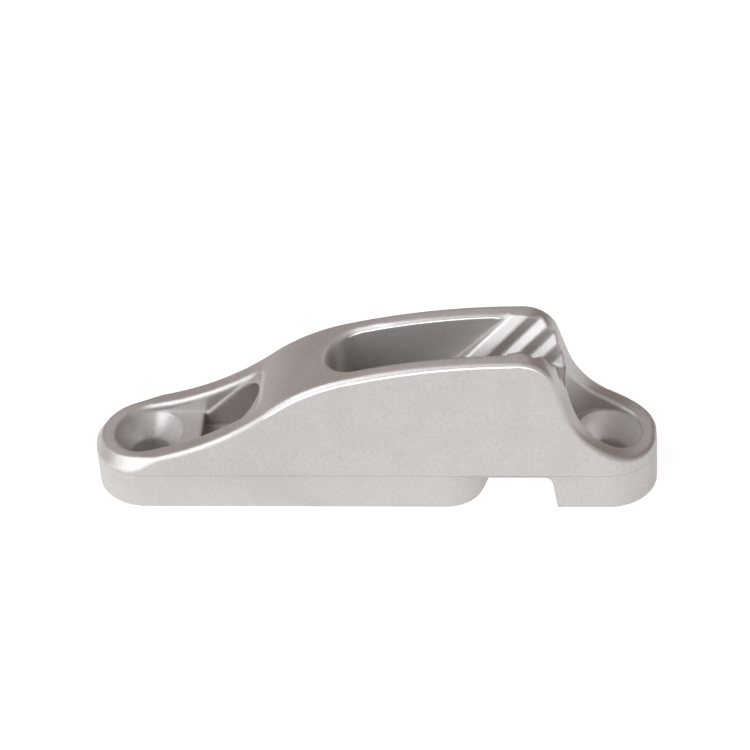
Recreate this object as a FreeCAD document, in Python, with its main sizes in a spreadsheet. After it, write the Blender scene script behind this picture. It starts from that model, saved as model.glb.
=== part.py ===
import FreeCAD, Part

import math
import os
import re

import Sketcher

# Jam cleat with a fairlead, cast in one piece. Millimetres, +Z up, origin at mid length on the foot.
# +X runs from the fairlead end to the jaw end and +Y to the far side, as the photograph shows it.

NODE = "cleat_body"

# Each size: its name, its value and what it measures. "Left" is the fairlead end.
SIZES = [
    ("body_length", 81.7, "over the two round ends"),
    ("body_width", 15.65, "at the parting plane, the widest level"),
    ("left_corner_radius", 7.5, "plan radius of the two corners at the fairlead end"),
    ("right_corner_radius", 7.0, "plan radius of the two corners at the jaw end"),
    ("parting_height", 6.1, "level where the two halves of the mould meet"),
    ("upper_draft", 2.85, "lean of the sides above the parting plane, degrees"),
    ("lower_draft", 0.5, "lean of the sides below it, degrees"),
    ("bevel_radius", 8.15, "start of the bevel round the fairlead end, at the parting plane"),
    ("bevel_lean", 35.5, "lean of that bevel from upright, degrees"),
    ("bevel_reach", 12.0, "from the fairlead end to where the bevel has left both sides"),
    ("bevel_spread", 2.75, "its distance from the sides there, at the parting plane"),
    ("left_flat_height", 7.92, "top of the fairlead end"),
    ("sweep_inset", 0.11, "from the fairlead end to where the top starts to rise"),
    ("sweep_radius", 40.9, "hollow sweep of the top in front of the bridge"),
    ("ramp_slope", 39.1, "steepest slope of the top, degrees"),
    ("shoulder_radius", 29.5, "round shoulder of the bridge"),
    ("crest_height", 26.04, "highest line of the body"),
    ("crest_inset", 19.05, "from the jaw end to the crest"),
    ("nose_radius", 5.12, "round nose behind the crest"),
    ("tail_radius", 13.0, "hollow sweep behind the nose"),
    ("tail_inset", 0.25, "from the jaw end to where that sweep ends"),
    ("right_flat_height", 8.13, "top of the jaw end"),
    ("edge_round", 0.75, "outer top edge"),
    ("foot_round", 0.5, "bottom edge"),
    ("right_foot_length", 14.98, "from the jaw end to the cross slot, at its ceiling"),
    ("slot_width", 9.37, "cross slot under the jaws, along the length, at its ceiling"),
    ("heel_radius", 9.0, "plan radius of the long foot where it meets the cross slot"),
    ("heel_corner_radius", 5.4, "plan radius of the two corners beside it"),
    ("heel_corner_inset", 6.0, "from the cross slot to the centres of those corners"),
    ("slot_height", 5.88, "ceiling of the cross slot"),
    ("slot_lean", 7.6, "lean of the short foot away from the slot, degrees"),
    ("slot_round", 1.3, "where that ceiling meets the short foot"),
    ("left_hole_inset", 7.85, "screw hole from the fairlead end"),
    ("right_hole_inset", 7.15, "screw hole from the jaw end"),
    ("hole_radius", 2.85, "screw hole"),
    ("throat_height", 4.2, "where the countersink runs into the screw hole"),
    ("seat_radius", 4.9, "mouth of the countersink"),
    ("left_seat_height", 7.8, "floor of the recess at the fairlead end"),
    ("right_seat_height", 8.0, "floor of the recess at the jaw end"),
    ("right_seat_reach", 1.0, "how far the jaw end recess runs on towards the jaws"),
    ("rim_round", 0.6, "rims of the two recesses"),
    ("seat_floor_length", 7.7, "from the screw hole to the drop into the fairlead"),
    ("mouth_reach", 17.1, "from the screw hole to the top of the fairlead mouth"),
    ("mouth_width", 8.9, "fairlead mouth at its top"),
    ("mouth_corner", 2.0, "plan radius of its top corners"),
    ("mouth_foot_height", 7.25, "where the slanted mouth starts above the drop"),
    ("mouth_lip", 0.12, "how far the slanted mouth stays under the top at its upper end"),
    ("tunnel_width", 8.6, "fairlead tunnel"),
    ("tunnel_crown", 15.8, "top of its arch"),
    ("tunnel_floor", 5.4, "its floor"),
    ("channel_width", 8.9, "open well between the bridge and the jaws"),
    ("channel_round", 0.7, "rim of the well"),
    ("well_floor_length", 0.3, "level floor between its round end and the foot of the jaws"),
    ("jaw_slope", 44.0, "rise of the teeth and of the front of the jaws, degrees"),
    ("jaw_lead", 1.64, "from the front of the jaws to the crest, at crest height"),
    ("jaw_gap", 8.14, "between the tooth crests at crest height"),
    ("jaw_lean", 15.1, "lean of each jaw away from upright, degrees"),
    ("front_land", 2.7, "face before the first tooth crest, on the far side"),
    ("tooth_stagger", 1.1, "how much nearer the front the teeth of the near side are"),
    ("tooth_pitch", 4.2, "from tooth to tooth along the length"),
    ("tooth_step", 2.32, "face of a tooth that looks away from the front, along the length"),
    ("tooth_depth", 1.0, "from crest to trough"),
    ("groove_height", 18.3, "floor of the groove between the jaws"),
    ("groove_width", 3.7, "width of that floor"),
    ("headroom", 1.0, "how far a cut starts outside what it cuts"),
]

# Places and levels that follow from the sizes.
LEFT_HOLE_X = "(left_hole_inset - body_length / 2)"
RIGHT_HOLE_X = "(body_length / 2 - right_hole_inset)"
DROP_X = f"({LEFT_HOLE_X} + seat_floor_length)"
MOUTH_X = f"({LEFT_HOLE_X} + mouth_reach)"
CREST_X = "(body_length / 2 - crest_inset)"
JAW_X = f"({CREST_X} - jaw_lead)"
SLOT_RIGHT_X = "(body_length / 2 - right_foot_length)"
SLOT_LEFT_X = f"({SLOT_RIGHT_X} - slot_width)"
NOSE_WALL_X = f"({RIGHT_HOLE_X} - right_seat_reach - seat_radius)"
ABOVE = "(crest_height + headroom)"

# Limits used to pick edges: a sharp turn in degrees, parts of a unit normal, and a distance.
SHARP_TURN = 5
CLEARLY_UP = 0.1
UPRIGHT = 0.02
CLOSE = 0.03
SMALLEST_CHANGE = 0.01

document = FreeCAD.newDocument("jam_cleat")
sheet = document.addObject("Spreadsheet::Sheet", "Sizes")
for row, (alias, number, meaning) in enumerate(SIZES, start=1):
    sheet.set(f"A{row}", alias)
    sheet.set(f"B{row}", str(number))
    sheet.setAlias(f"B{row}", alias)
    sheet.set(f"C{row}", meaning)
document.recompute()
body = document.addObject("PartDesign::Body", NODE)
body.Label = NODE
body.Placement = FreeCAD.Placement()


def front_x(level):
    """Where the slanted front of the jaws is at a level."""
    return f"({JAW_X} + ({level} - crest_height) / tan(jaw_slope))"


WELL_X = f"({front_x('tunnel_floor')} - well_floor_length)"


def tied(expression):
    """Puts the sheet's name before each size named in an expression."""
    return re.sub(r"\b[a-z]+_\w+\b|\bheadroom\b", r"Sizes.\g<0>", expression)


def number_of(expression):
    """Works out an expression of sizes as a plain number."""
    return float(body.evalExpression(tied(expression)))


def base(role):
    """Finds one of the body's own base planes or axes."""
    return next(item for item in body.Origin.OriginFeatures if item.Role == role)


def new_sketch(name, role, offset="0", across="0"):
    """Makes a sketch on a base plane of the body, moved along the plane's normal and across it."""
    sketch = body.newObject("Sketcher::SketchObject", name)
    sketch.AttachmentSupport = (base(role), [""])
    sketch.MapMode = "FlatFace"
    sketch.setExpression("AttachmentOffset.Base.z", tied(offset))
    sketch.setExpression("AttachmentOffset.Base.x", tied(across))
    return sketch


def bind(sketch, kind, references, expression):
    """Adds one driving size to a sketch and ties it to the sheet."""
    index = sketch.addConstraint(Sketcher.Constraint(kind, *references, number_of(expression)))
    sketch.setExpression(f"Constraints[{index}]", tied(expression))


def place(sketch, geometry, end, across, up):
    """Fixes one point of a sketch by its two coordinates; end 3 is an arc's centre."""
    bind(sketch, "DistanceX", (-1, 1, geometry, end), across)
    bind(sketch, "DistanceY", (-1, 1, geometry, end), up)


def draw_arc(sketch, centre, radius, first, last):
    """Draws an arc anticlockwise between two angles in radians."""
    circle = Part.Circle(centre, FreeCAD.Vector(0, 0, 1), radius)
    return sketch.addGeometry(Part.ArcOfCircle(circle, first, last))


def outline(name, role, corners, offset="0", across="0"):
    """Draws a closed outline of straight lines and the arcs that round its corners.

    Each corner is (across, up, radius). With a radius, the first two place the arc's centre, and
    the lines beside it are tangent to it. With None, they place a sharp corner. An outline with
    arcs runs anticlockwise, and a radius below zero makes a hollow arc.
    """
    sketch = new_sketch(name, role, offset, across)
    centres = [FreeCAD.Vector(number_of(right), number_of(up), 0) for right, up, _ in corners]
    radii = [number_of(radius) if radius else 0.0 for _, _, radius in corners]
    lines = []
    for this in range(len(corners)):
        after = (this + 1) % len(corners)
        along = centres[after] - centres[this]
        turn = math.asin((radii[this] - radii[after]) / along.Length)
        along.normalize()
        outward = FreeCAD.Vector(
            along.y * math.cos(turn) + along.x * math.sin(turn),
            along.y * math.sin(turn) - along.x * math.cos(turn),
            0,
        )
        start = centres[this] + outward * radii[this]
        finish = centres[after] + outward * radii[after]
        lines.append(sketch.addGeometry(Part.LineSegment(start, finish)))
    for this, (right, up, radius) in enumerate(corners):
        before, line = lines[this - 1], lines[this]
        if not radius:
            sketch.addConstraint(Sketcher.Constraint("Coincident", before, 2, line, 1))
            place(sketch, line, 1, right, up)
            continue
        ends = [(before, 2), (line, 1)]
        if radii[this] < 0:
            ends.reverse()
        start, finish = (sketch.getPoint(*end) - centres[this] for end in ends)
        first = math.atan2(start.y, start.x)
        sweep = (math.atan2(finish.y, finish.x) - first) % (2 * math.pi)
        arc = draw_arc(sketch, centres[this], abs(radii[this]), first, first + sweep)
        for arc_end, end in enumerate(ends, start=1):
            sketch.addConstraint(Sketcher.Constraint("Tangent", *end, arc, arc_end))
        place(sketch, arc, 3, right, up)
        bind(sketch, "Radius", (arc,), f"abs({radius})")
    return sketch


def finish_feature(feature):
    """Makes a feature the body's newest one, works the body out and stops on a failure."""
    body.Tip = feature
    document.recompute()
    if "Invalid" in feature.State or "Error" in feature.State:
        raise RuntimeError(f"{feature.Name} failed: {feature.getStatusString()}")


def change_solid(kind, name, profile, sizes, settings=()):
    """Adds a feature made from a sketch and makes sure that it changes the solid the right way.

    Sizes are (property, expression) pairs and settings (property, value) pairs.
    """
    before = 0.0 if body.Shape.isNull() else body.Shape.Volume
    feature = body.newObject(f"PartDesign::{kind}", name)
    feature.Profile = profile
    for key, setting in settings:
        setattr(feature, key, setting)
    for key, expression in sizes:
        feature.setExpression(key, tied(expression))
    finish_feature(feature)
    gained = body.Shape.Volume - before
    if (gained > 0) != (kind == "Pad") or abs(gained) < SMALLEST_CHANGE:
        raise RuntimeError(f"{name} changed the volume by {gained:.3f}")
    return feature


def cut_down(name, sketch, floor):
    """Cuts a plan outline from above the body down to a floor level."""
    return change_solid("Pocket", name, sketch, [("Length", f"{ABOVE} - {floor}")])


def cut_across(name, sketch, width):
    """Cuts a side outline out of the body over a width centred on the middle plane."""
    return change_solid("Pocket", name, sketch, [("Length", width)], [("SideType", "Symmetric")])


def normal_at(face, point):
    """Normal of a face where it passes a point."""
    return face.normalAt(*face.Surface.parameter(point))


def round_edges(name, radius, chosen):
    """Rounds the sharp edges that a test picks; it gets the middle and the two faces' normals."""
    names = []
    for index, edge in enumerate(body.Shape.Edges, start=1):
        faces = body.Shape.ancestorsOfType(edge, Part.Face)
        if len(faces) != 2:
            continue
        middle = edge.valueAt((edge.FirstParameter + edge.LastParameter) / 2)
        normals = [normal_at(face, middle) for face in faces]
        turn = math.degrees(normals[0].getAngle(normals[1]))
        if turn > SHARP_TURN and chosen(middle, normals):
            names.append(f"Edge{index}")
    newest = body.Tip
    fillet = body.newObject("PartDesign::Fillet", name)
    fillet.Base = (newest, names)
    fillet.setExpression("Radius", tied(radius))
    finish_feature(fillet)


def is_rim(normals):
    """True where an upright wall meets the top."""
    level, upright = sorted((abs(normal.z) for normal in normals), reverse=True)
    return level > CLEARLY_UP and upright < UPRIGHT


def point_on(centre, radius, degrees):
    """Point of a circle at an angle."""
    angle = math.radians(degrees)
    return centre + FreeCAD.Vector(math.cos(angle), math.sin(angle), 0) * radius


def top_profile():
    """Draws the side view of the top, as the outline of what is cut away above it.

    Left to right: a flat, a hollow sweep up to the steepest slope, the round shoulder, a long back
    that is level at the crest, the nose, a short straight, the hollow tail and a flat. The radius
    of the back is the one that joins the shoulder to the crest.
    """
    sketch = new_sketch("top_profile", "XZ_Plane")
    vector = FreeCAD.Vector
    slope = number_of("ramp_slope")
    sweep, shoulder = number_of("sweep_radius"), number_of("shoulder_radius")
    nose, tail = number_of("nose_radius"), number_of("tail_radius")
    left_x, right_x = (number_of(f"{sign} * (body_length / 2 + headroom)") for sign in (-1, 1))
    left_z, right_z = number_of("left_flat_height"), number_of("right_flat_height")
    lid_z = number_of(f"{ABOVE} + headroom")
    crest = vector(number_of(CREST_X), number_of("crest_height"), 0)
    sweep_start = vector(number_of("sweep_inset - body_length / 2"), left_z, 0)
    sweep_centre = sweep_start + vector(0, sweep, 0)
    shoulder_centre = point_on(sweep_centre, sweep + shoulder, slope - 90)
    # The back is level at the crest and the shoulder's circle touches it from inside.
    gap = shoulder_centre - crest
    back = (shoulder**2 - gap.dot(gap)) / (2 * (gap.y + shoulder))
    back_centre = crest - vector(0, back, 0)
    joint = shoulder_centre - back_centre
    back_start = math.degrees(math.atan2(joint.y, joint.x))
    nose_centre = crest - vector(0, nose, 0)
    tail_end = vector(number_of("body_length / 2 - tail_inset"), right_z, 0)
    tail_centre = tail_end + vector(0, tail, 0)
    between = tail_centre - nose_centre
    nose_end = math.degrees(math.atan2(between.y, between.x) + math.acos((nose + tail) / between.Length))
    arcs = [
        (sweep_centre, sweep, 270, 270 + slope),
        (shoulder_centre, shoulder, back_start, 90 + slope),
        (back_centre, back, 90, back_start),
        (nose_centre, nose, nose_end, 90),
        (tail_centre, tail, 180 + nose_end, 270),
    ]
    sweep_arc, shoulder_arc, back_arc, nose_arc, tail_arc = (
        draw_arc(sketch, centre, radius, math.radians(first), math.radians(last))
        for centre, radius, first, last in arcs
    )
    straights = [
        (vector(left_x, left_z, 0), sweep_start),
        (point_on(nose_centre, nose, nose_end), point_on(tail_centre, tail, 180 + nose_end)),
        (tail_end, vector(right_x, right_z, 0)),
        (vector(right_x, right_z, 0), vector(right_x, lid_z, 0)),
        (vector(right_x, lid_z, 0), vector(left_x, lid_z, 0)),
        (vector(left_x, lid_z, 0), vector(left_x, left_z, 0)),
    ]
    left_flat, nose_line, right_flat, right_side, lid, left_side = (
        sketch.addGeometry(Part.LineSegment(*ends)) for ends in straights
    )
    for joined in (
        (left_flat, 2, sweep_arc, 1),
        (sweep_arc, 2, shoulder_arc, 2),
        (shoulder_arc, 1, back_arc, 2),
        (back_arc, 1, nose_arc, 2),
        (nose_arc, 1, nose_line, 1),
        (nose_line, 2, tail_arc, 1),
        (tail_arc, 2, right_flat, 1),
    ):
        sketch.addConstraint(Sketcher.Constraint("Tangent", *joined))
    frame = (right_flat, right_side, lid, left_side, left_flat)
    for first, second in zip(frame, frame[1:]):
        sketch.addConstraint(Sketcher.Constraint("Coincident", first, 2, second, 1))
    for line in (left_flat, right_flat, lid):
        sketch.addConstraint(Sketcher.Constraint("Horizontal", line))
    for line in (left_side, right_side):
        sketch.addConstraint(Sketcher.Constraint("Vertical", line))
    sweep_x = "sweep_inset - body_length / 2"
    place(sketch, left_flat, 1, "-body_length / 2 - headroom", "left_flat_height")
    bind(sketch, "DistanceX", (-1, 1, left_flat, 2), sweep_x)
    bind(sketch, "Radius", (sweep_arc,), "sweep_radius")
    bind(sketch, "DistanceX", (-1, 1, sweep_arc, 2), f"{sweep_x} + sweep_radius * sin(ramp_slope)")
    bind(sketch, "Radius", (shoulder_arc,), "shoulder_radius")
    place(sketch, nose_arc, 2, CREST_X, "crest_height")
    bind(sketch, "DistanceX", (-1, 1, nose_arc, 3), CREST_X)
    bind(sketch, "Radius", (nose_arc,), "nose_radius")
    bind(sketch, "Radius", (tail_arc,), "tail_radius")
    place(sketch, right_flat, 1, "body_length / 2 - tail_inset", "right_flat_height")
    bind(sketch, "DistanceX", (-1, 1, right_flat, 2), "body_length / 2 + headroom")
    bind(sketch, "DistanceY", (-1, 1, lid, 1), f"{ABOVE} + headroom")
    return sketch


def cast_outside():
    """Upper half, waist and two feet, all drafted away from the parting plane, and the top."""
    half_width = "body_width / 2"
    left_end, right_end, round_foot_end = [], [], []
    for end, radius, centre_x in (
        (left_end, "left_corner_radius", "left_corner_radius - body_length / 2"),
        (right_end, "right_corner_radius", "body_length / 2 - right_corner_radius"),
        (round_foot_end, "heel_corner_radius", f"{SLOT_LEFT_X} - heel_corner_inset"),
    ):
        for side in ("-", ""):
            end.append((centre_x, f"{side}({half_width} - {radius})", radius))
    left_end.reverse()
    round_foot_end.insert(1, (f"{SLOT_LEFT_X} - heel_radius", "0", "heel_radius"))
    square_foot_end = [
        (f"{SLOT_RIGHT_X} - headroom", half_width, None),
        (f"{SLOT_RIGHT_X} - headroom", f"-{half_width}", None),
    ]
    slot_side = [
        (f"{SLOT_RIGHT_X} - 2 * headroom", "-headroom", None),
        (f"{SLOT_RIGHT_X} + (slot_height + headroom) * tan(slot_lean)", "-headroom", None),
        (SLOT_RIGHT_X, "slot_height", None),
        (f"{SLOT_RIGHT_X} - 2 * headroom", "slot_height", None),
    ]
    plan = outline("plan", "XY_Plane", left_end + right_end, "parting_height")
    change_solid(
        "Pad", "upper_half", plan,
        [("Length", f"{ABOVE} - parting_height"), ("TaperAngle", "-upper_draft")],
    )
    lower_parts = [
        ("waist", plan, "parting_height - slot_height"),
        (
            "left_foot",
            outline("left_foot_plan", "XY_Plane", left_end + round_foot_end, "parting_height"),
            "parting_height",
        ),
        (
            "right_foot",
            outline("right_foot_plan", "XY_Plane", right_end + square_foot_end, "parting_height"),
            "parting_height",
        ),
    ]
    for name, sketch, depth in lower_parts:
        change_solid(
            "Pad", name, sketch, [("Length", depth), ("TaperAngle", "-lower_draft")], [("Reversed", True)],
        )
    cut_across("slot_face", outline("slot_side", "XZ_Plane", slot_side), "body_width + headroom")
    change_solid(
        "Pocket", "top_cut", top_profile(), [], [("Type", "ThroughAll"), ("SideType", "Symmetric")],
    )
    above_parting = number_of("parting_height") + CLOSE
    slot_height, slot_x = number_of("slot_height"), number_of(SLOT_RIGHT_X)
    round_edges("outer_edge", "edge_round", lambda middle, normals: middle.z > above_parting)
    end_bevel()
    round_edges("foot_edge", "foot_round", lambda middle, normals: middle.z < CLOSE)
    round_edges(
        "slot_corner", "slot_round",
        lambda middle, normals: abs(middle.z - slot_height) < CLOSE and abs(middle.x - slot_x) < CLOSE,
    )


def end_bevel():
    """Bevel round the top of the fairlead end that fades out along both sides.

    It is cut from the parting plane upwards. What is cut there lies outside a hollow arc and its
    two tangents, and it grows inwards with the level.
    """
    fade_x = "(bevel_reach - body_length / 2)"
    fade_y = "(body_width / 2 + bevel_spread)"
    outside_x = "(-body_length / 2 - headroom)"
    outside_y = f"({fade_y} + headroom)"
    plan = [
        (outside_x, outside_y, None),
        (outside_x, f"-{outside_y}", None),
        (fade_x, f"-{outside_y}", None),
        (fade_x, f"-{fade_y}", None),
        ("body_width / 2 - body_length / 2", "0", "-bevel_radius"),
        (fade_x, fade_y, None),
        (fade_x, outside_y, None),
    ]
    change_solid(
        "Pocket", "end_bevel", outline("end_bevel_plan", "XY_Plane", plan, "parting_height"),
        [("Length", "left_flat_height - parting_height + 2 * headroom"), ("TaperAngle", "bevel_lean")],
        [("Reversed", True)],
    )


def end_recesses():
    """Recess round each screw. The one at the fairlead end runs up to the top of the mouth."""
    corner_x = f"({MOUTH_X} - mouth_corner)"
    corner_y = "(mouth_width / 2 - mouth_corner)"
    left_plan = [
        (LEFT_HOLE_X, "0", "seat_radius"),
        (corner_x, f"-{corner_y}", "mouth_corner"),
        (corner_x, corner_y, "mouth_corner"),
    ]
    right_plan = [
        (f"{RIGHT_HOLE_X} - right_seat_reach", "0", "seat_radius"),
        (RIGHT_HOLE_X, "0", "seat_radius"),
    ]
    cut_down("left_recess", outline("left_recess_plan", "XY_Plane", left_plan, ABOVE), "left_seat_height")
    cut_down("right_recess", outline("right_recess_plan", "XY_Plane", right_plan, ABOVE), "right_seat_height")
    reach = number_of("seat_radius") + CLOSE
    left_z, right_z = number_of("left_flat_height") - CLOSE, number_of("right_flat_height") - CLOSE
    mouth_x, nose_x = number_of(MOUTH_X) + CLOSE, number_of(NOSE_WALL_X) - CLOSE
    round_edges(
        "left_rim", "rim_round",
        lambda middle, normals: is_rim(normals) and middle.x < mouth_x and middle.z > left_z
        and abs(middle.y) < reach,
    )
    round_edges(
        "right_rim", "rim_round",
        lambda middle, normals: is_rim(normals) and middle.x > nose_x and middle.z > right_z
        and abs(middle.y) < reach,
    )


def fairlead():
    """Slanted mouth, and an arched tunnel from the drop behind the screw seat to the well."""
    start_x = "(sweep_inset - body_length / 2)"
    top = (
        "(left_flat_height + sweep_radius - mouth_lip"
        f" - sqrt(sweep_radius^2 - ({MOUTH_X} - {start_x})^2))"
    )
    slope = f"({top} - mouth_foot_height) / (mouth_reach - seat_floor_length)"
    mouth_side = [
        (DROP_X, "mouth_foot_height", None),
        (f"{MOUTH_X} + rim_round", "mouth_foot_height", None),
        (f"{MOUTH_X} + rim_round", f"{top} + rim_round * {slope}", None),
    ]
    change_solid(
        "Pad", "slanted_mouth", outline("mouth_side", "XZ_Plane", mouth_side),
        [("Length", "mouth_width + 2 * rim_round")], [("SideType", "Symmetric")],
    )
    section = [
        ("-tunnel_width / 2", "tunnel_floor", None),
        ("tunnel_width / 2", "tunnel_floor", None),
        ("0", "tunnel_crown - tunnel_width / 2", "tunnel_width / 2"),
    ]
    change_solid(
        "Pocket", "tunnel", outline("tunnel_section", "YZ_Plane", section, DROP_X),
        [("Length", f"{WELL_X} - {DROP_X}")], [("Reversed", True)],
    )


def well():
    """Open well between the bridge and the jaws, with a round end under the bridge."""
    half_width = "channel_width / 2"
    end_plan = [
        (WELL_X, "0", half_width),
        (front_x("tunnel_floor"), f"-{half_width}", None),
        (front_x("tunnel_floor"), half_width, None),
    ]
    side = [
        (WELL_X, "tunnel_floor", None),
        (front_x("tunnel_floor"), "tunnel_floor", None),
        (front_x(ABOVE), ABOVE, None),
        (WELL_X, ABOVE, None),
    ]
    cut_down("well_end", outline("well_end_plan", "XY_Plane", end_plan, ABOVE), "tunnel_floor")
    cut_across("well", outline("well_side", "XZ_Plane", side), "channel_width")
    slope = math.radians(number_of("jaw_slope"))
    front = FreeCAD.Vector(-math.sin(slope), 0, math.cos(slope))
    reach = number_of(half_width) + CLOSE
    low, high = number_of(MOUTH_X), number_of(JAW_X)
    crown = number_of("tunnel_crown") + CLOSE
    round_edges(
        "well_rim", "channel_round",
        lambda middle, normals: is_rim(normals) and low < middle.x < high and middle.z > crown
        and abs(middle.y) < reach
        and all(math.degrees(normal.getAngle(front)) > SHARP_TURN for normal in normals),
    )


def jaws():
    """Plain groove, and on each side slanted teeth that lean outwards towards the top.

    The teeth and the front of the jaws rise along the same slope. The cut for each face is drawn at
    the level above the body and slides down that slope to the floor of the groove.
    """
    start_x = f"({front_x('groove_height')} - headroom)"
    groove_side = [
        (start_x, "groove_height", None),
        (RIGHT_HOLE_X, "groove_height", None),
        (RIGHT_HOLE_X, ABOVE, None),
        (start_x, ABOVE, None),
    ]
    cut_across("groove", outline("groove_side", "XZ_Plane", groove_side), "groove_width")
    spread = "headroom * tan(jaw_lean)"
    front_y = f"(channel_width / 2 + {spread})"
    crest_y = f"(jaw_gap / 2 + {spread})"
    trough_y = f"(jaw_gap / 2 + tooth_depth + {spread})"
    inner_y = f"(({ABOVE} - groove_height) * tan(jaw_lean) - groove_width / 2)"
    for side, sign, land in (("far", "", "front_land"), ("near", "-", "(front_land - tooth_stagger)")):
        crest_x = f"({front_x(ABOVE)} + {land})"
        front_plan = [
            (front_x(ABOVE), sign + inner_y, None),
            (crest_x, sign + inner_y, None),
            (crest_x, sign + crest_y, None),
            (front_x(ABOVE), sign + front_y, None),
        ]
        tooth_plan = [
            (crest_x, sign + inner_y, None),
            (f"{crest_x} + tooth_pitch", sign + inner_y, None),
            (f"{crest_x} + tooth_pitch", sign + crest_y, None),
            (f"{crest_x} + tooth_step", sign + trough_y, None),
            (crest_x, sign + crest_y, None),
        ]
        opposite = "" if sign else "-"
        slide = [
            ("Length", f"{ABOVE} - groove_height"),
            ("Direction.x", "-1 / tan(jaw_slope)"),
            ("Direction.y", f"{opposite}tan(jaw_lean)"),
        ]
        straight_down = FreeCAD.Vector(0, 0, -1)
        slanted = [
            ("UseCustomVector", True),
            ("Direction", straight_down),
            ("AlongSketchNormal", True),
        ]
        for face, plan in (("front", front_plan), ("tooth", tooth_plan)):
            sketch = outline(f"{side}_{face}_plan", "XY_Plane", plan, ABOVE)
            cut = change_solid("Pocket", f"{side}_{face}", sketch, slide, slanted)
        first_x = f"({front_x('groove_height')} + {land})"
        row = body.newObject("PartDesign::LinearPattern", f"{side}_teeth")
        row.Originals = [cut]
        row.Direction = (base("X_Axis"), [""])
        row.Mode = "Spacing"
        row.setExpression("Offset", tied("tooth_pitch"))
        row.setExpression("Occurrences", tied(f"ceil(({NOSE_WALL_X} - {first_x}) / tooth_pitch)"))
        finish_feature(row)


def screw_seats():
    """Countersunk screw hole at each end, turned about its upright axis."""
    for side, hole_x in (("left", LEFT_HOLE_X), ("right", RIGHT_HOLE_X)):
        section = [
            ("0", "-headroom", None),
            ("hole_radius", "-headroom", None),
            ("hole_radius", "throat_height", None),
            ("seat_radius", f"{side}_seat_height", None),
            ("0", f"{side}_seat_height", None),
        ]
        sketch = outline(f"{side}_seat_section", "XZ_Plane", section, across=hole_x)
        change_solid("Groove", f"{side}_seat", sketch, [], [("ReferenceAxis", (sketch, ["V_Axis"]))])


def check_and_write():
    """Stops unless every object is sound and the casting is one valid solid, then writes it."""
    document.recompute()
    for item in document.Objects:
        if "Invalid" in item.State or "Error" in item.State:
            raise RuntimeError(f"{item.Name} failed: {item.State}")
    for sketch in document.findObjects("Sketcher::SketchObject"):
        if not sketch.FullyConstrained:
            raise RuntimeError(f"{sketch.Name} is not fully constrained")
    shape = body.Shape
    if shape.isNull() or not shape.isValid() or len(shape.Solids) != 1:
        raise RuntimeError(f"{body.Label} is not one valid solid")
    os.makedirs("parts", exist_ok=True)
    shape.exportStep(f"parts/{body.Label}.step")
    print(f"{body.Label}: {shape.Volume:.1f} mm3, {len(shape.Faces)} faces")


cast_outside()
end_recesses()
fairlead()
well()
jaws()
screw_seats()
check_and_write()
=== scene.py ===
"""Looks of the jam cleat: its cast finish, the floor, the studio light and the camera."""

from __future__ import annotations

import logging
from dataclasses import dataclass, field
from enum import Enum
from math import cos, radians, sin

import bpy
from mathutils import Matrix, Vector

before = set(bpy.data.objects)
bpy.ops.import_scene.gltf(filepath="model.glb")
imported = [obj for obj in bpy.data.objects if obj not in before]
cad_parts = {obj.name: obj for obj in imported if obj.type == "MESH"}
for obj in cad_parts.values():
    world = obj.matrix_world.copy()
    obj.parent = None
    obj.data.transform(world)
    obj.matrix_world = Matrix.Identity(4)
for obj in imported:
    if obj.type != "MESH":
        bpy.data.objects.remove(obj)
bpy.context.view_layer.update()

LOG = logging.getLogger("jam_cleat")
MM = 0.001
FADE = 0.1 * MM
BEVEL_SAMPLES = 6

Colour = tuple[float, float, float]
Point = tuple[float, float, float]
Limits = tuple[float, float]


class Blend(Enum):
    """How two colours are laid over each other."""

    MIX = "MIX"
    MULTIPLY = "MULTIPLY"


class Ray(Enum):
    """Kinds of ray that a background can be shown to."""

    CAMERA = "Is Camera Ray"
    GLOSSY = "Is Glossy Ray"
    TRANSMISSION = "Is Transmission Ray"


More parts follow.
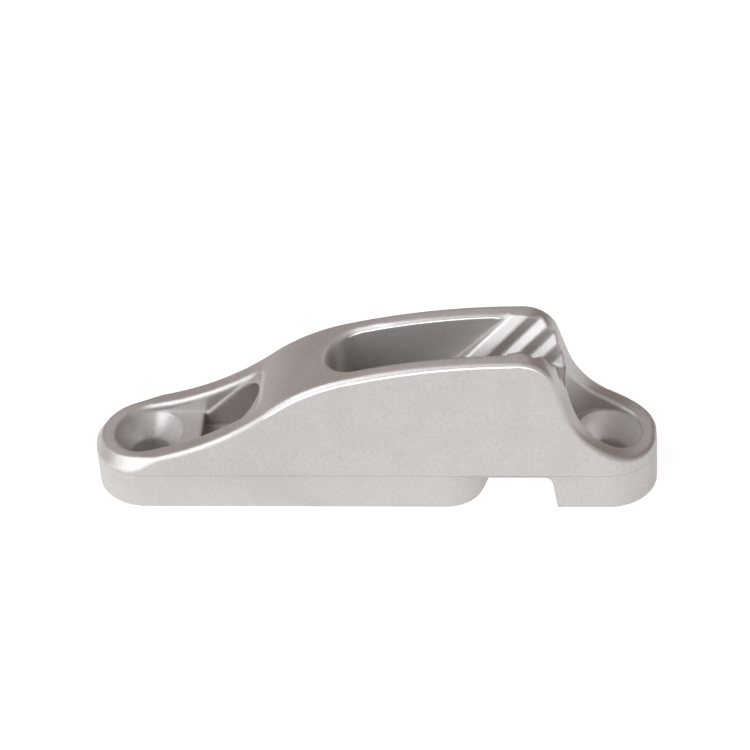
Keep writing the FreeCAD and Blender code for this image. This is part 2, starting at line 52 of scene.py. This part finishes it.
class Value:
    """A number on a shader socket that can be used in an expression."""

    def __init__(self, recipe: Recipe, socket: bpy.types.NodeSocket) -> None:
        """Wraps a socket.

        Args:
            recipe: The node tree that the socket belongs to.
            socket: An output socket that carries a number.
        """
        self.recipe = recipe
        self.socket = socket

    def _math(self, operation: str, first: object, second: object) -> Value:
        """Adds one Math node.

        Args:
            operation: The Math node's operation.
            first: Its first value, a number or a Value.
            second: Its second value, a number or a Value.

        Returns:
            The node's result.
        """
        node = self.recipe.node("ShaderNodeMath", {"operation": operation}, {0: first, 1: second})
        return Value(self.recipe, node.outputs[0])

    def __add__(self, other: object) -> Value:
        """Adds a number or a Value."""
        return self._math("ADD", self, other)

    def __radd__(self, other: object) -> Value:
        """Adds to a number."""
        return self._math("ADD", other, self)

    def __sub__(self, other: object) -> Value:
        """Takes away a number or a Value."""
        return self._math("SUBTRACT", self, other)

    def __rsub__(self, other: object) -> Value:
        """Is taken away from a number."""
        return self._math("SUBTRACT", other, self)

    def __mul__(self, other: object) -> Value:
        """Multiplies by a number or a Value."""
        return self._math("MULTIPLY", self, other)

    def __rmul__(self, other: object) -> Value:
        """Multiplies a number."""
        return self._math("MULTIPLY", other, self)

    def __abs__(self) -> Value:
        """Drops the sign."""
        return self._math("ABSOLUTE", self, 0.0)

    def larger(self, other: object) -> Value:
        """Gives the larger of this and another value."""
        return self._math("MAXIMUM", self, other)

    def below(self, limit: float, fade: float = FADE) -> Value:
        """Is 1 up to a limit, and fades to 0 over a short way past it."""
        return self.ease(limit + fade, limit)

    def ease(self, start: float, end: float, low: float = 0.0, high: float = 1.0) -> Value:
        """Turns smoothly from one level to another between two limits.

        Args:
            start: Where the result is low.
            end: Where the result is high.
            low: The result up to start.
            high: The result from end on.

        Returns:
            The eased value.
        """
        node = self.recipe.node(
            "ShaderNodeMapRange",
            {"interpolation_type": "SMOOTHSTEP", "clamp": True},
            {"Value": self, "From Min": start, "From Max": end, "To Min": low, "To Max": high},
        )
        return Value(self.recipe, node.outputs["Result"])


class Recipe:
    """Node tree of one material or of the world."""

    def __init__(self, tree: bpy.types.NodeTree) -> None:
        """Empties a node tree and starts on it.

        Args:
            tree: The tree of a material or world that uses nodes.
        """
        self.tree = tree
        self.tree.nodes.clear()

    def node(self, kind: str, settings: dict[str, object], values: dict[object, object]) -> bpy.types.Node:
        """Adds a node.

        Args:
            kind: The node's type.
            settings: Its own settings, which are set first.
            values: Socket name or number to a plain value, a Value or an output socket.

        Returns:
            The new node.
        """
        node = self.tree.nodes.new(kind)
        for name, setting in settings.items():
            setattr(node, name, setting)
        for key, given in values.items():
            source = given.socket if isinstance(given, Value) else given
            if isinstance(source, bpy.types.NodeSocket):
                self.tree.links.new(source, node.inputs[key])
            else:
                node.inputs[key].default_value = source
        return node

    def value(self, node: bpy.types.Node, output: str | int) -> Value:
        """Gives one output of a node as a Value."""
        return Value(self, node.outputs[output])

    def place(self) -> bpy.types.NodeSocket:
        """Gives the point on the object, in metres in the object's own frame."""
        return self.node("ShaderNodeTexCoord", {}, {}).outputs["Object"]

    def facing(self) -> bpy.types.NodeSocket:
        """Gives the way that the surface faces."""
        return self.node("ShaderNodeNewGeometry", {}, {}).outputs["Normal"]

    def softened(self, reach: float) -> bpy.types.NodeSocket:
        """Gives the way that the surface would face if its creases were rounded."""
        return self.node("ShaderNodeBevel", {"samples": BEVEL_SAMPLES}, {"Radius": reach}).outputs[0]

    def vector(self, operation: str, *values: object) -> bpy.types.Node:
        """Adds a Vector Math node on the values given."""
        return self.node("ShaderNodeVectorMath", {"operation": operation}, dict(enumerate(values)))

    def axes(self, vector: bpy.types.NodeSocket) -> tuple[Value, Value, Value]:
        """Splits a vector into its x, y and z."""
        node = self.node("ShaderNodeSeparateXYZ", {}, {0: vector})
        return self.value(node, "X"), self.value(node, "Y"), self.value(node, "Z")

    def noise(self, grain: float, detail: float = 2.0, roughness: float = 0.5) -> Value:
        """Adds a solid noise.

        Args:
            grain: Size of its largest blobs, in metres.
            detail: Number of finer layers.
            roughness: Strength of the finer layers.

        Returns:
            The noise, about 0.5 in the middle.
        """
        node = self.node(
            "ShaderNodeTexNoise",
            {"noise_dimensions": "3D"},
            {"Vector": self.place(), "Scale": 1.0 / grain, "Detail": detail, "Roughness": roughness},
        )
        return self.value(node, "Fac")

    def colour(self, mode: Blend, amount: object, under: object, over: object) -> bpy.types.NodeSocket:
        """Lays one colour over another.

        Args:
            mode: How they are laid.
            amount: How much of the upper one shows, from 0 to 1.
            under: The lower colour.
            over: The upper colour.

        Returns:
            The colour that results.
        """
        node = self.node(
            "ShaderNodeMix",
            {"data_type": "RGBA", "blend_type": mode.value},
            {0: amount, 6: under, 7: over},
        )
        return node.outputs[2]


def opaque(colour: Colour) -> tuple[float, float, float, float]:
    """Gives a colour with full opacity."""
    return (*colour, 1.0)


def grey(level: float) -> tuple[float, float, float, float]:
    """Gives a neutral grey of one level."""
    return (level, level, level, 1.0)


@dataclass(frozen=True)
class CastAluminium:
    """Aluminium as it leaves the mould and the tumbler: finely grained, with softened creases.

    Its surface is matt between tiny polished flats, so it is a mix of a matt and a satin metal.
    """

    name: str = "cast_aluminium"
    metal: Colour = (0.71, 0.696, 0.685)
    dull: Colour = (0.63, 0.605, 0.585)
    highlight_tone: Colour = (0.93, 0.93, 0.93)
    tunnel_shade: Colour = (0.86, 0.80, 0.79)
    matt: float = 0.72
    satin: float = 0.31
    roughness_spread: float = 0.06
    satin_share: float = 0.42
    crease_satin_share: float = 0.16
    jaw_satin_share: float = 0.9
    hidden_satin_share: float = 0.15
    cloud: float = 5.0 * MM
    cloud_limits: Limits = (0.35, 0.65)
    evenness: float = 0.72
    grain: float = 0.34 * MM
    grain_height: float = 0.018 * MM
    pit_limits: Limits = (0.62, 0.30)
    pit_share: float = 0.22
    pit_tone: float = 0.55
    bump_strength: float = 0.5
    crease_reach: float = 0.8 * MM
    crease_limits: Limits = (0.01, 0.12)
    jaw_height: float = 16.0 * MM
    jaw_sideways: Limits = (0.90, 0.94)
    jaw_leaning: Limits = (0.14, 0.20)
    jaw_crown: Point = (-0.12, 0.0, 0.60)
    tunnel_start: float = -25.35 * MM
    tunnel_end: float = -1.2 * MM
    tunnel_fade: float = 0.3 * MM
    tunnel_half: float = 4.4 * MM
    tunnel_top: float = 15.9 * MM
    mouth_end: float = -12.0 * MM
    mouth_half: float = 5.3 * MM
    well_half: float = 4.55 * MM
    well_upright: Limits = (0.16, 0.10)
    seat_x: float = 33.7 * MM
    seat_radius: float = 5.0 * MM
    seat_top: float = 8.05 * MM
    seat_rim: float = 0.95
    seat_highlight: float = 0.8
    seam_height: float = 6.1 * MM
    seam_width: float = 0.09 * MM
    seam_step: float = 0.04 * MM
    seam_upright: Limits = (0.3, 0.1)
    seam_share: float = 0.45
    seam_tone: float = 0.4

    def build(self) -> bpy.types.Material:
        """Makes the material.

        Returns:
            The finished material.
        """
        material = bpy.data.materials.new(self.name)
        material.use_nodes = True
        recipe = Recipe(material.node_tree)
        grain = recipe.noise(self.grain, detail=3.0, roughness=0.6)
        cloud = recipe.noise(self.cloud, detail=4.0, roughness=0.55)
        crease, seam, jaw = self.creases(recipe), self.seam(recipe), self.jaw_lands(recipe)
        tunnel, well, mouth = self.tunnel(recipe), self.well(recipe), self.mouth(recipe)
        # painted highlight: the mask for the jaw flats and the jaw-end seat
        painted_highlight = jaw.larger(self.seat(recipe) * self.seat_highlight)
        pits = grain.ease(*self.pit_limits, 0.0, self.pit_share)
        tone = recipe.colour(Blend.MIX, cloud.ease(*self.cloud_limits), opaque(self.dull), opaque(self.metal))
        tone = recipe.colour(Blend.MIX, self.evenness, tone, opaque(self.metal))
        tone = recipe.colour(Blend.MULTIPLY, pits, tone, grey(self.pit_tone))
        # painted highlight: the jaw flats and the jaw-end seat are lightened toward a pale tone
        tone = recipe.colour(Blend.MIX, painted_highlight, tone, opaque(self.highlight_tone))
        # painted shade: the inside of the tunnel is darkened and warmed
        tone = recipe.colour(Blend.MULTIPLY, tunnel, tone, opaque(self.tunnel_shade))
        tone = recipe.colour(Blend.MULTIPLY, seam * self.seam_share, tone, grey(self.seam_tone))
        share = self.satin_share + crease * (self.crease_satin_share - self.satin_share)
        share = share.larger(jaw * self.jaw_satin_share)
        hidden = tunnel.larger(well).larger(crease * mouth)
        share = share * (1.0 - hidden * (1.0 - self.hidden_satin_share / self.satin_share))
        normal = self.relief(recipe, jaw, grain * self.grain_height + seam * self.seam_step)
        spread = self.roughness_spread
        lobes = [
            recipe.node(
                "ShaderNodeBsdfPrincipled",
                {},
                {
                    "Base Color": tone,
                    "Metallic": 1.0,
                    "Roughness": (level - spread) + cloud * spread + grain * spread,
                    "Normal": normal,
                },
            ).outputs[0]
            for level in (self.matt, self.satin)
        ]
        both = recipe.node("ShaderNodeMixShader", {}, {0: share, 1: lobes[0], 2: lobes[1]})
        recipe.node("ShaderNodeOutputMaterial", {}, {"Surface": both.outputs[0]})
        return material

    def relief(self, recipe: Recipe, jaw: Value, height: Value) -> bpy.types.NodeSocket:
        """Bends the light on the surface: softened creases, crowned jaws and the casting's grain.

        Args:
            recipe: The tree to add to.
            jaw: 1 on the flats of the jaws.
            height: The relief, in metres.

        Returns:
            The normal to shade with.
        """
        crowned = recipe.vector("MULTIPLY_ADD", jaw, self.jaw_crown, recipe.softened(self.crease_reach))
        bump = recipe.node(
            "ShaderNodeBump",
            {},
            {
                "Strength": self.bump_strength,
                "Distance": 1.0,
                "Height": height,
                "Normal": recipe.vector("NORMALIZE", crowned.outputs[0]).outputs[0],
            },
        )
        return bump.outputs[0]

    def creases(self, recipe: Recipe) -> Value:
        """Finds the creases, which the tumbler leaves more matt than the flats.

        Args:
            recipe: The tree to add to.

        Returns:
            1 on a crease, 0 away from it.
        """
        along = recipe.vector("DOT_PRODUCT", recipe.softened(self.crease_reach), recipe.facing())
        return (1.0 - recipe.value(along, "Value")).ease(*self.crease_limits)

    def jaw_lands(self, recipe: Recipe) -> Value:
        """Finds the leaning flats of the jaws, which are shaded smoother (more satin), crowned, and lightened
        with a painted highlight in their colour.

        Args:
            recipe: The tree to add to.

        Returns:
            1 on the flats, 0 elsewhere.
        """
        _, sideways, up = recipe.axes(recipe.facing())
        _, _, height = recipe.axes(recipe.place())
        leaning = abs(sideways).ease(*self.jaw_sideways) * up.ease(*self.jaw_leaning)
        return leaning * height.ease(self.jaw_height, self.jaw_height + MM)

    def tunnel(self, recipe: Recipe) -> Value:
        """Finds the inside of the fairlead, which is darkened and warmed as painted shade and given less
        satin.

        Args:
            recipe: The tree to add to.

        Returns:
            1 in the tunnel, 0 elsewhere.
        """
        along, aside, height = recipe.axes(recipe.place())
        inside = along.ease(self.tunnel_start, self.tunnel_start + self.tunnel_fade)
        inside = inside * along.ease(self.tunnel_end, self.tunnel_end - self.tunnel_fade)
        return inside * abs(aside).below(self.tunnel_half) * height.below(self.tunnel_top)

    def mouth(self, recipe: Recipe) -> Value:
        """Finds the inside of the fairlead end, up to the top of the tunnel's slanted mouth.

        Args:
            recipe: The tree to add to.

        Returns:
            1 inside that end, 0 elsewhere.
        """
        along, aside, _ = recipe.axes(recipe.place())
        return along.below(self.mouth_end, MM) * abs(aside).below(self.mouth_half)

    def well(self, recipe: Recipe) -> Value:
        """Finds the upright walls of the well, which the tumbler's stones hardly reach.

        Args:
            recipe: The tree to add to.

        Returns:
            1 on those walls, 0 elsewhere.
        """
        _, _, up = recipe.axes(recipe.facing())
        _, aside, _ = recipe.axes(recipe.place())
        return abs(up).ease(*self.well_upright) * abs(aside).below(self.well_half)

    def seat(self, recipe: Recipe) -> Value:
        """Finds the screw's seat at the jaw end, which is painted brighter than the other seat as a painted
        highlight.

        Args:
            recipe: The tree to add to.

        Returns:
            1 in the seat, 0 elsewhere.
        """
        along, aside, height = recipe.axes(recipe.place())
        off = along - self.seat_x
        rim = self.seat_radius * self.seat_rim
        near = (off * off + aside * aside).ease(self.seat_radius**2, rim**2)
        return near * height.below(self.seat_top)

    def seam(self, recipe: Recipe) -> Value:
        """Finds the fine line where the halves of the mould met.

        Args:
            recipe: The tree to add to.

        Returns:
            1 on the line, 0 away from it.
        """
        _, _, up = recipe.axes(recipe.facing())
        _, _, height = recipe.axes(recipe.place())
        off = abs(height - self.seam_height)
        return off.ease(self.seam_width, 0.0) * abs(up).ease(*self.seam_upright)


@dataclass(frozen=True)
class PaleFloor:
    """Plain pale floor that glows to white and shows soft shadows; its glow is taken away under the screw
    holes, a painted shade there.
    """

    name: str = "pale_floor"
    paint: float = 0.45
    lift: float = 0.84
    mirrored: float = 0.82
    hole_x: float = 33.35 * MM
    hole_reach: float = 3.4 * MM
    hole_rim: float = 1.1

    def build(self) -> bpy.types.Material:
        """Makes the material.

        Returns:
            The finished material.
        """
        material = bpy.data.materials.new(self.name)
        material.use_nodes = True
        recipe = Recipe(material.node_tree)
        path = recipe.node("ShaderNodeLightPath", {}, {})
        seen = recipe.value(path, Ray.CAMERA.value)
        seen = seen.larger(recipe.value(path, Ray.TRANSMISSION.value))
        seen = seen.larger(recipe.value(path, Ray.GLOSSY.value) * self.mirrored)
        # painted shade: the glow is cut out in discs under both screw holes, so the floor is dark there
        along, aside, _ = recipe.axes(recipe.place())
        off = abs(along) - self.hole_x
        rim = self.hole_reach * self.hole_rim
        glow_outside_hole_shade = (off * off + aside * aside).ease(self.hole_reach**2, rim**2)
        tint = recipe.colour(Blend.MIX, glow_outside_hole_shade * seen, grey(0.0), grey(1.0))
        paint = recipe.node("ShaderNodeBsdfDiffuse", {}, {"Color": grey(self.paint)})
        glow = recipe.node("ShaderNodeEmission", {}, {"Color": tint, "Strength": self.lift})
        both = recipe.node("ShaderNodeAddShader", {}, {0: paint.outputs[0], 1: glow.outputs[0]})
        recipe.node("ShaderNodeOutputMaterial", {}, {"Surface": both.outputs[0]})
        return material


@dataclass
class Casting:
    """The cleat itself, one casting."""

    node: str = "cleat_body"
    slot: str = "casting"
    finish: CastAluminium = field(default_factory=CastAluminium)

    def dress(self) -> bpy.types.Object:
        """Gives the casting its finish.

        Returns:
            The casting's object.
        """
        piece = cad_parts[self.node]
        material = self.finish.build()
        if not piece.material_slots:
            piece.data.materials.append(material)
        for held in piece.material_slots:
            held.material = material
        return piece


@dataclass(frozen=True)
class Softbox:
    """One square area lamp that looks at the object."""

    name: str
    azimuth: float
    elevation: float
    size: float
    power: float
    distance: float = 1.1
    colour: Colour = (0.94, 0.975, 1.0)

    def hang(self, aim: Vector) -> bpy.types.Object:
        """Hangs the lamp.

        Args:
            aim: The point that it looks at.

        Returns:
            The lamp's object.
        """
        light = bpy.data.lights.new(self.name, "AREA")
        light.shape = "SQUARE"
        light.size = self.size
        light.energy = self.power
        light.color = self.colour
        lamp = bpy.data.objects.new(self.name, light)
        turn, tilt = radians(self.azimuth), radians(self.elevation)
        towards = Vector((sin(turn) * cos(tilt), -cos(turn) * cos(tilt), sin(tilt)))
        lamp.location = aim + towards * self.distance
        lamp.rotation_euler = towards.to_track_quat("Z", "Y").to_euler()
        bpy.context.scene.collection.objects.link(lamp)
        return lamp


@dataclass
class Studio:
    """Floor, room and lamps round the object."""

    floor_reach: float = 6.0
    floor_drop: float = 0.05 * MM
    aim_height: float = 12.0 * MM
    room: Colour = (0.215, 0.155, 0.14)
    finish: PaleFloor = field(default_factory=PaleFloor)
    lamps: tuple[Softbox, ...] = (
        Softbox("left", azimuth=-52.0, elevation=24.0, size=1.0, power=3.8),
        Softbox("key", azimuth=-37.0, elevation=24.0, size=0.7, power=1.9),
        Softbox("brow", azimuth=-14.0, elevation=46.0, size=0.45, power=1.0),
        Softbox("high_left", azimuth=-75.0, elevation=52.0, size=0.7, power=4.6),
        Softbox("front", azimuth=18.0, elevation=30.0, size=0.7, power=0.7),
        Softbox("right", azimuth=58.0, elevation=30.0, size=0.7, power=0.7),
        Softbox("back", azimuth=180.0, elevation=44.0, size=0.8, power=0.8),
    )

    def build(self) -> None:
        """Makes the floor, the room's light and the lamps."""
        self.lay_floor()
        self.light_room()
        aim = Vector((0.0, 0.0, self.aim_height))
        for lamp in self.lamps:
            lamp.hang(aim)

    def lay_floor(self) -> bpy.types.Object:
        """Lays the floor.

        Returns:
            The floor's object.
        """
        reach = self.floor_reach
        corners = [(-reach, -reach, 0.0), (reach, -reach, 0.0), (reach, reach, 0.0), (-reach, reach, 0.0)]
        mesh = bpy.data.meshes.new("floor")
        mesh.from_pydata(corners, [], [(0, 1, 2, 3)])
        mesh.materials.append(self.finish.build())
        floor = bpy.data.objects.new("floor", mesh)
        floor.location.z = -self.floor_drop
        bpy.context.scene.collection.objects.link(floor)
        return floor

    def light_room(self) -> bpy.types.World:
        """Lights the room with a plain warm grey.

        Returns:
            The world.
        """
        world = bpy.data.worlds.new("room")
        bpy.context.scene.world = world
        world.use_nodes = True
        recipe = Recipe(world.node_tree)
        glow = recipe.node("ShaderNodeBackground", {}, {"Color": opaque(self.room), "Strength": 1.0})
        recipe.node("ShaderNodeOutputWorld", {}, {"Surface": glow.outputs[0]})
        return world


@dataclass(frozen=True)
class PhotoCamera:
    """Camera that stands where the photograph was taken."""

    lens: float = 192.0
    sensor: float = 36.0
    distance: float = 574.069 * MM
    elevation: float = 39.0
    turn: float = 6.249
    roll: float = 3.941
    across: float = 0.589 * MM
    height: float = 18.467 * MM
    clip: Limits = (0.01, 50.0)

    def build(self) -> bpy.types.Object:
        """Sets the camera up.

        Returns:
            The camera's object.
        """
        data = bpy.data.cameras.new("photo_camera")
        data.sensor_fit = "HORIZONTAL"
        data.sensor_width = self.sensor
        data.lens = self.lens
        data.clip_start, data.clip_end = self.clip
        tilt, roll = radians(self.elevation), radians(self.roll)
        right = Vector((1.0, 0.0, 0.0))
        up = Vector((0.0, sin(tilt), cos(tilt)))
        back = Vector((0.0, -cos(tilt), sin(tilt)))
        place = Vector((self.across, 0.0, self.height)) + back * self.distance
        axes = (
            right * cos(roll) - up * sin(roll),
            right * sin(roll) + up * cos(roll),
            back,
        )
        pose = Matrix(axes).transposed().to_4x4()
        pose.translation = place
        camera = bpy.data.objects.new("photo_camera", data)
        camera.matrix_world = Matrix.Rotation(radians(self.turn), 4, "Z") @ pose
        bpy.context.scene.collection.objects.link(camera)
        bpy.context.scene.camera = camera
        return camera


def main() -> None:
    """Builds the camera, the room and the casting's finish."""
    logging.basicConfig(level=logging.INFO)
    bpy.context.scene.view_settings.view_transform = "Standard"
    camera = PhotoCamera().build()
    LOG.info("camera %s", camera.name)
    Studio().build()
    piece = Casting().dress()
    LOG.info("piece %s, %d faces", piece.name, len(piece.data.polygons))


if __name__ == "__main__":
    main()
